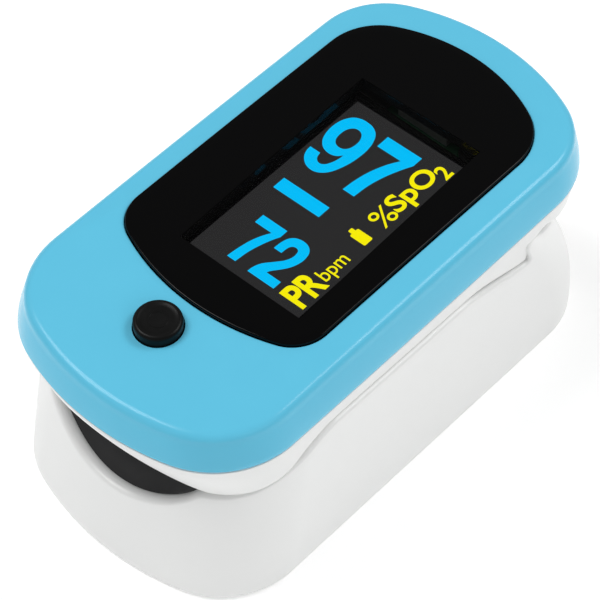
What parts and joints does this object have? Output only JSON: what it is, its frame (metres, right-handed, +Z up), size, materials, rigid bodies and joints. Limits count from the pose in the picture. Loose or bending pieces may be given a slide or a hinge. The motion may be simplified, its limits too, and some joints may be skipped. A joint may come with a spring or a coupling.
{
  "type": "fingertip pulse oximeter",
  "caption": "Hand-size clip of sprung hinged jaws with rubber finger pads, a black display window, a press button on a blue cover and a sliding battery door.",
  "frame": {"origin": "centre of the bounding box's bottom face, on the flat base it rests on", "axes": "+Z up through the display, +Y towards the squeezed hinge tail, so the finger enters from -Y, and +X is the user's right when the finger end faces them"},
  "size_m": [0.0326, 0.0618, 0.0282],
  "materials": {
    "cover_blue": "glossy sky-blue moulded plastic",
    "housing_white": "satin-gloss white moulded plastic",
    "inner_white": "white moulded plastic, unpolished",
    "lens_black": "polished black acrylic window with printed border",
    "display_glass": "thin display module, lit cyan and yellow areas",
    "button_black": "satin black moulded plastic",
    "pad_rubber": "soft dark grey silicone rubber",
    "gasket_foam": "black foam",
    "board_green": "green glass-epoxy circuit board with solder mask",
    "chip_black": "moulded black epoxy",
    "clear_resin": "clear moulded resin",
    "spring_steel": "bright steel",
    "nickel_contact": "nickel-plated spring strip and wire",
    "cell_wrap": "printed plastic sleeve on a steel can",
    "flex_polyimide": "amber polyimide ribbon with copper tracks"
  },
  "bodies": {
    "lower_jaw": {"lower_shell": "housing_white", "pad_carrier": "inner_white", "lower_finger_pad": "pad_rubber", "detector_window": "clear_resin", "photodiode": "chip_black", "detector_board": "board_green", "battery_left": "cell_wrap", "battery_right": "cell_wrap", "front_negative_spring": "nickel_contact", "rear_negative_spring": "nickel_contact", "front_positive_plate": "nickel_contact", "rear_bridge_plate": "nickel_contact", "battery_holder": "inner_white", "flex_cable": "flex_polyimide", "hinge_pin": "spring_steel", "torsion_spring_left": "spring_steel", "torsion_spring_right": "spring_steel", "base_screw_left": "spring_steel", "base_screw_right": "spring_steel"},
    "upper_jaw": {"upper_shell": "housing_white", "top_cover": "cover_blue", "display_lens": "lens_black", "display_module": "display_glass", "display_gasket": "gasket_foam", "main_board": "board_green", "microcontroller": "chip_black", "flex_connector": "inner_white", "power_inductor": "chip_black", "tactile_switch": "chip_black", "emitter_leds": "clear_resin", "emitter_window": "clear_resin", "upper_finger_pad": "pad_rubber", "tail_screw_left": "spring_steel", "tail_screw_right": "spring_steel"},
    "button": {"power_button": "button_black"},
    "plunger": {"switch_plunger": "nickel_contact"},
    "door": {"battery_door": "housing_white"}
  },
  "joints": [
    {"name": "jaw_hinge", "type": "hinge", "parent": "lower_jaw", "child": "upper_jaw", "pos_m": [0, 0.018, 0.0173], "axis": [-1, 0, 0], "range_deg": [0, 20], "stiffness_Nm_per_rad": 0.25, "springref_deg": -28.65, "deforming": ["torsion_spring_left", "torsion_spring_right", "flex_cable"]},
    {"name": "button_press", "type": "slide", "parent": "upper_jaw", "child": "button", "axis": [0, 0.0425, -0.9991], "range_m": [0, 0.00025], "stiffness_N_per_m": 800, "springref_m": -0.0005},
    {"name": "switch_travel", "type": "slide", "parent": "upper_jaw", "child": "plunger", "axis": [0, 0, -1], "range_m": [0, 0.00025]},
    {"name": "door_slide", "type": "slide", "parent": "lower_jaw", "child": "door", "axis": [0, 1, 0], "range_m": [0, 0.055]}
  ],
  "couplings": [
    {"joint": "switch_travel", "follows": "button_press", "ratio": 1}
  ]
}
